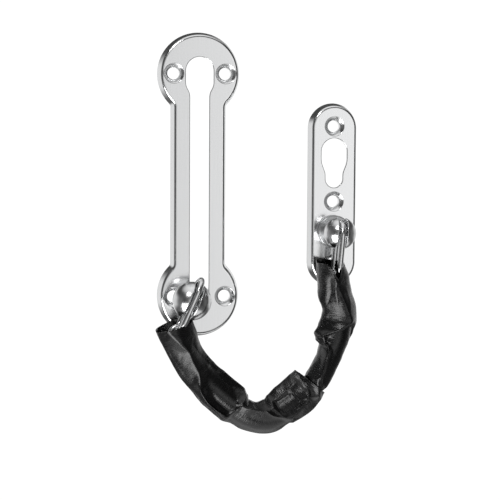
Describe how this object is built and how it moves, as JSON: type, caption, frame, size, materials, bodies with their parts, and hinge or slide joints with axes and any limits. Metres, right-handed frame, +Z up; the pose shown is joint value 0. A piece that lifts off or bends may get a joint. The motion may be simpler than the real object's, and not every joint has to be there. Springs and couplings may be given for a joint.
{
  "type": "door chain guard",
  "caption": "Door chain guard: ball knob captive in a slotted slide plate, and a keyhole anchor plate with a ball stud, joined by a link chain in a black leather sleeve.",
  "frame": {"origin": "centre of the slide plate's back, in the plane of the door's face", "axes": "+Y into the door, +Z up, +X from the slide plate towards the anchor plate"},
  "size_m": [0.0816, 0.0239, 0.1586],
  "materials": {
    "plate_chrome": "satin",
    "polished_chrome": "polished",
    "chain_steel": "nickel plated",
    "zinc": "dull zinc",
    "black_leather": "semi-gloss, fine grain"
  },
  "bodies": {
    "plates": {"slide_plate": "plate_chrome", "anchor_plate": "plate_chrome", "stud_collar": "plate_chrome"},
    "slider": {"slider_shoe": "zinc"},
    "knob": {"knob_head": "polished_chrome", "knob_ring": "polished_chrome"},
    "link_01": {"chain_link_01": "chain_steel"},
    "link_02": {"chain_link_02": "chain_steel"},
    "link_03": {"chain_link_03": "chain_steel"},
    "link_04": {"chain_link_04": "chain_steel"},
    "link_05": {"chain_link_05": "chain_steel"},
    "link_06": {"chain_link_06": "chain_steel", "leather_sleeve": "black_leather"},
    "link_07": {"chain_link_07": "chain_steel"},
    "link_08": {"chain_link_08": "chain_steel"},
    "link_09": {"chain_link_09": "chain_steel"},
    "link_10": {"chain_link_10": "chain_steel"},
    "link_11": {"chain_link_11": "chain_steel"},
    "stud": {"stud_head": "polished_chrome", "stud_washer": "zinc", "anchor_ring": "polished_chrome"}
  },
  "joints": [
    {"name": "knob_slide", "type": "slide", "parent": "plates", "child": "slider", "axis": [0, 0, 1], "range_m": [0, 0.0895], "deforming": ["leather_sleeve"]},
    {"name": "knob_swivel", "type": "hinge", "parent": "slider", "child": "knob", "pos_m": [-0.0005, -0.0155, -0.0445], "axis": [0, -1, 0], "range_deg": [0, 44.7]},
    {"name": "link_01_swing", "type": "hinge", "parent": "knob", "child": "link_01", "pos_m": [-0.01, -0.0155, -0.0571], "axis": [0, -1, 0], "range_deg": [-58.5, 0]},
    {"name": "link_02_swing", "type": "hinge", "parent": "link_01", "child": "link_02", "pos_m": [-0.00782, -0.0155, -0.0629], "axis": [0, -1, 0], "range_deg": [-8.9, 0]},
    {"name": "link_03_swing", "type": "hinge", "parent": "link_02", "child": "link_03", "pos_m": [-0.002, -0.0155, -0.07247], "axis": [0, -1, 0], "range_deg": [-11.2, 0]},
    {"name": "link_04_swing", "type": "hinge", "parent": "link_03", "child": "link_04", "pos_m": [0.00237, -0.0155, -0.07715], "axis": [0, -1, 0], "range_deg": [-2.9, 0]},
    {"name": "link_05_swing", "type": "hinge", "parent": "link_04", "child": "link_05", "pos_m": [0.0107, -0.0155, -0.08464], "axis": [0, -1, 0], "range_deg": [-4.7, 0]},
    {"name": "link_06_swing", "type": "hinge", "parent": "link_05", "child": "link_06", "pos_m": [0.0158, -0.0155, -0.0885], "axis": [0, -1, 0], "range_deg": [-19.2, 0]},
    {"name": "link_07_swing", "type": "hinge", "parent": "link_06", "child": "link_07", "pos_m": [0.02677, -0.0155, -0.09076], "axis": [0, -1, 0], "range_deg": [0, 8.9]},
    {"name": "stud_swivel", "type": "hinge", "parent": "plates", "child": "stud", "pos_m": [0.0545, -0.0155, -0.0184], "axis": [0, -1, 0], "range_deg": [0, 43.4]},
    {"name": "link_11_swing", "type": "hinge", "parent": "stud", "child": "link_11", "pos_m": [0.0529, -0.0155, -0.03666], "axis": [0, -1, 0], "range_deg": [-67.5, 0]},
    {"name": "link_10_swing", "type": "hinge", "parent": "link_11", "child": "link_10", "pos_m": [0.05355, -0.0155, -0.04283], "axis": [0, -1, 0], "range_deg": [-48.5, 0]},
    {"name": "link_09_swing", "type": "hinge", "parent": "link_10", "child": "link_09", "pos_m": [0.05403, -0.0155, -0.05402], "axis": [0, -1, 0], "range_deg": [-6.8, 0]},
    {"name": "link_08_swing", "type": "hinge", "parent": "link_09", "child": "link_08", "pos_m": [0.05293, -0.0155, -0.06032], "axis": [0, -1, 0], "range_deg": [-27, 0]}
  ],
  "couplings": [
    {"joint": "knob_swivel", "follows": "knob_slide", "rad_per_m": 8.657},
    {"joint": "link_01_swing", "follows": "knob_slide", "rad_per_m": -11.354},
    {"joint": "link_02_swing", "follows": "knob_slide", "rad_per_m": -1.681},
    {"joint": "link_03_swing", "follows": "knob_slide", "rad_per_m": -2.122},
    {"joint": "link_04_swing", "follows": "knob_slide", "rad_per_m": -0.502},
    {"joint": "link_05_swing", "follows": "knob_slide", "rad_per_m": -0.865},
    {"joint": "link_06_swing", "follows": "knob_slide", "rad_per_m": -3.68},
    {"joint": "link_07_swing", "follows": "knob_slide", "rad_per_m": 1.67},
    {"joint": "stud_swivel", "follows": "knob_slide", "rad_per_m": 8.407},
    {"joint": "link_11_swing", "follows": "knob_slide", "rad_per_m": -13.107},
    {"joint": "link_10_swing", "follows": "knob_slide", "rad_per_m": -9.408},
    {"joint": "link_09_swing", "follows": "knob_slide", "rad_per_m": -1.27},
    {"joint": "link_08_swing", "follows": "knob_slide", "rad_per_m": -5.209}
  ]
}
